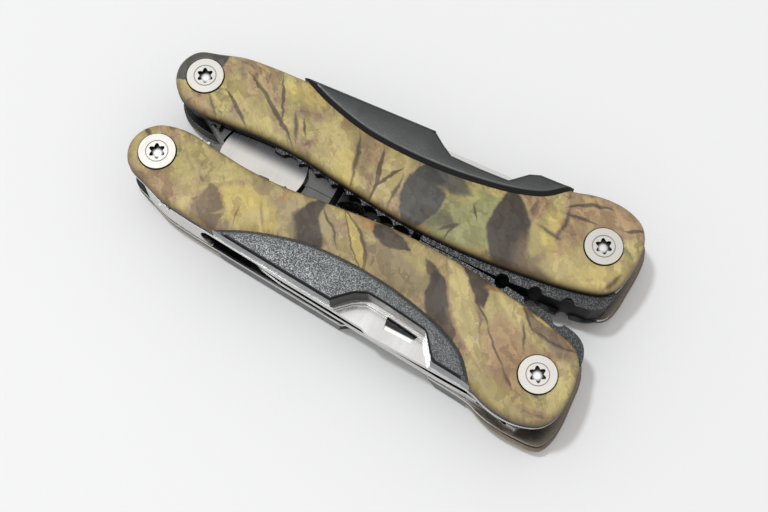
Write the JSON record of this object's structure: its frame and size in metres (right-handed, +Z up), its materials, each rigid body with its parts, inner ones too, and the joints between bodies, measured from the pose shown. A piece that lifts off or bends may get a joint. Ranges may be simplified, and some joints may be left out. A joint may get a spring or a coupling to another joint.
{
  "type": "folding multi tool",
  "caption": "Folding pocket multi tool with spring-held pliers between two camouflage-patterned handles that hold fold-out blades and drivers.",
  "frame": {"origin": "centre of the folded tool's footprint, on the surface it lies on", "axes": "+X along the tool from the plier head to the tail, +Y from the front handle to the back handle, +Z up through the tool's thickness"},
  "size_m": [0.1015, 0.0494, 0.0188],
  "materials": {
    "scale_pattern": null,
    "pad_black": "black, fine sparkling grain on top, bright cut along the outer side",
    "frame_black": "black, slightly rough",
    "spacer_black": "satin black",
    "steel_satin": "satin rolled steel",
    "steel_bright": "polished steel",
    "tool_steel": "fine brushed steel",
    "jaw_steel": "satin forged steel",
    "screw_steel": "pale satin steel"
  },
  "bodies": {
    "front_handle": {"front_channel": "steel_satin", "front_top_frame": "frame_black", "front_bottom_frame": "frame_black", "front_top_scale": "scale_pattern", "front_bottom_scale": "scale_pattern", "front_top_pad": "pad_black", "front_bottom_pad": "pad_black", "front_grip_spacer": "spacer_black", "front_tool_spring": "steel_satin", "front_detent_spring": "steel_bright", "front_head_screw": "screw_steel", "front_head_barrel": "screw_steel", "front_tail_screw": "screw_steel", "front_tail_barrel": "screw_steel", "front_tool_washers": "steel_satin"},
    "jaw_front": {"jaw_front": "jaw_steel", "joint_pin": "screw_steel"},
    "jaw_back": {"jaw_back": "jaw_steel"},
    "back_handle": {"back_channel": "steel_satin", "back_top_frame": "frame_black", "back_bottom_frame": "frame_black", "back_top_scale": "scale_pattern", "back_bottom_scale": "scale_pattern", "back_top_pad": "pad_black", "back_bottom_pad": "pad_black", "back_grip_spacer": "spacer_black", "back_tool_spring": "steel_satin", "back_detent_spring": "steel_bright", "back_head_screw": "screw_steel", "back_head_barrel": "screw_steel", "back_tail_screw": "screw_steel", "back_tail_barrel": "screw_steel", "back_tool_washers": "steel_satin"},
    "knife_blade": {"knife_blade": "steel_bright"},
    "phillips_driver": {"phillips_driver": "tool_steel"},
    "wood_saw": {"wood_saw": "tool_steel"},
    "bottle_opener": {"bottle_opener": "tool_steel"},
    "serrated_blade": {"serrated_blade": "steel_bright"},
    "flat_driver": {"flat_driver": "tool_steel"},
    "can_opener": {"can_opener": "tool_steel"},
    "file": {"file": "tool_steel"}
  },
  "joints": [
    {"name": "unfold_front", "type": "hinge", "parent": "front_handle", "child": "jaw_front", "pos_m": [-0.04455, -0.00945, 0.0094], "axis": [0, 0, 1], "range_deg": [0, 165]},
    {"name": "open_jaws", "type": "hinge", "parent": "jaw_front", "child": "jaw_back", "pos_m": [-0.02595, 0, 0.0094], "axis": [0, 0, -1], "range_deg": [0, 36]},
    {"name": "unfold_back", "type": "hinge", "parent": "jaw_back", "child": "back_handle", "pos_m": [-0.04455, 0.00945, 0.0094], "axis": [0, 0, 1], "range_deg": [0, 165]},
    {"name": "knife_blade_fold", "type": "hinge", "parent": "front_handle", "child": "knife_blade", "pos_m": [0.04265, -0.01455, 0.0094], "axis": [0, 0, 1], "range_deg": [0, 180]},
    {"name": "phillips_driver_fold", "type": "hinge", "parent": "front_handle", "child": "phillips_driver", "pos_m": [0.04265, -0.01455, 0.0094], "axis": [0, 0, 1], "range_deg": [0, 180]},
    {"name": "wood_saw_fold", "type": "hinge", "parent": "front_handle", "child": "wood_saw", "pos_m": [0.04265, -0.01455, 0.0094], "axis": [0, 0, 1], "range_deg": [0, 180]},
    {"name": "bottle_opener_fold", "type": "hinge", "parent": "front_handle", "child": "bottle_opener", "pos_m": [0.04265, -0.01455, 0.0094], "axis": [0, 0, 1], "range_deg": [0, 180]},
    {"name": "serrated_blade_fold", "type": "hinge", "parent": "back_handle", "child": "serrated_blade", "pos_m": [0.04265, 0.01455, 0.0094], "axis": [0, 0, -1], "range_deg": [0, 180]},
    {"name": "flat_driver_fold", "type": "hinge", "parent": "back_handle", "child": "flat_driver", "pos_m": [0.04265, 0.01455, 0.0094], "axis": [0, 0, -1], "range_deg": [0, 180]},
    {"name": "can_opener_fold", "type": "hinge", "parent": "back_handle", "child": "can_opener", "pos_m": [0.04265, 0.01455, 0.0094], "axis": [0, 0, -1], "range_deg": [0, 180]},
    {"name": "file_fold", "type": "hinge", "parent": "back_handle", "child": "file", "pos_m": [0.04265, 0.01455, 0.0094], "axis": [0, 0, -1], "range_deg": [0, 180]}
  ],
  "couplings": [
    {"joint": "open_jaws", "follows": "unfold_front", "ratio": 0.218},
    {"joint": "unfold_back", "follows": "unfold_front", "ratio": 1}
  ]
}
